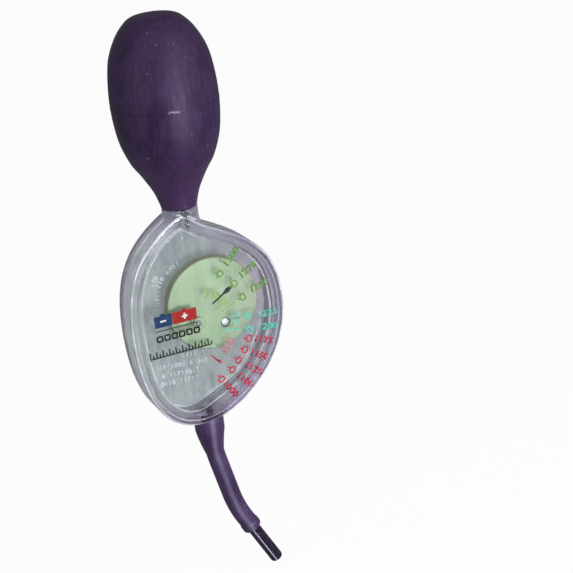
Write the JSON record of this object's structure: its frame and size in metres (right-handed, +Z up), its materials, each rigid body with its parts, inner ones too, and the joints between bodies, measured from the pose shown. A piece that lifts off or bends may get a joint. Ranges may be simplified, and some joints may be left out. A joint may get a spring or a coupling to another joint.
{
  "type": "battery hydrometer",
  "caption": "Hand-held acid tester: clear flat case with a swinging round dial float, a rubber squeeze bulb on top and a bent rubber pick-up tube with a nozzle.",
  "frame": {"origin": "the float's pivot axis where it meets the flat outer face of the rear shell", "axes": "+Z up to the bulb along the tool's length, -Y out of the window that is read, +X to the reader's right, where the scale is"},
  "size_m": [0.0689, 0.0446, 0.2567],
  "materials": {
    "clear_case": "clear moulded plastic with a faint grey-lilac cast",
    "bulb_rubber": "dull aubergine rubber",
    "tube_rubber": "satin aubergine rubber",
    "nozzle_plastic": "glossy near-black plastic",
    "float_plastic": "pale green moulded plastic",
    "steel": "bright turned steel"
  },
  "bodies": {
    "case": {"front_shell": "clear_case", "rear_shell": "clear_case", "pivot_pin": "steel", "squeeze_bulb": "bulb_rubber", "pickup_tube": "tube_rubber", "nozzle_tip": "nozzle_plastic"},
    "float": {"dial_float": "float_plastic", "float_weight": "steel"}
  },
  "joints": [
    {"name": "dial_swing", "type": "hinge", "parent": "case", "child": "float", "pos_m": [0, -0.0075, 0], "axis": [0, -1, 0], "range_deg": [-155, 80]}
  ]
}
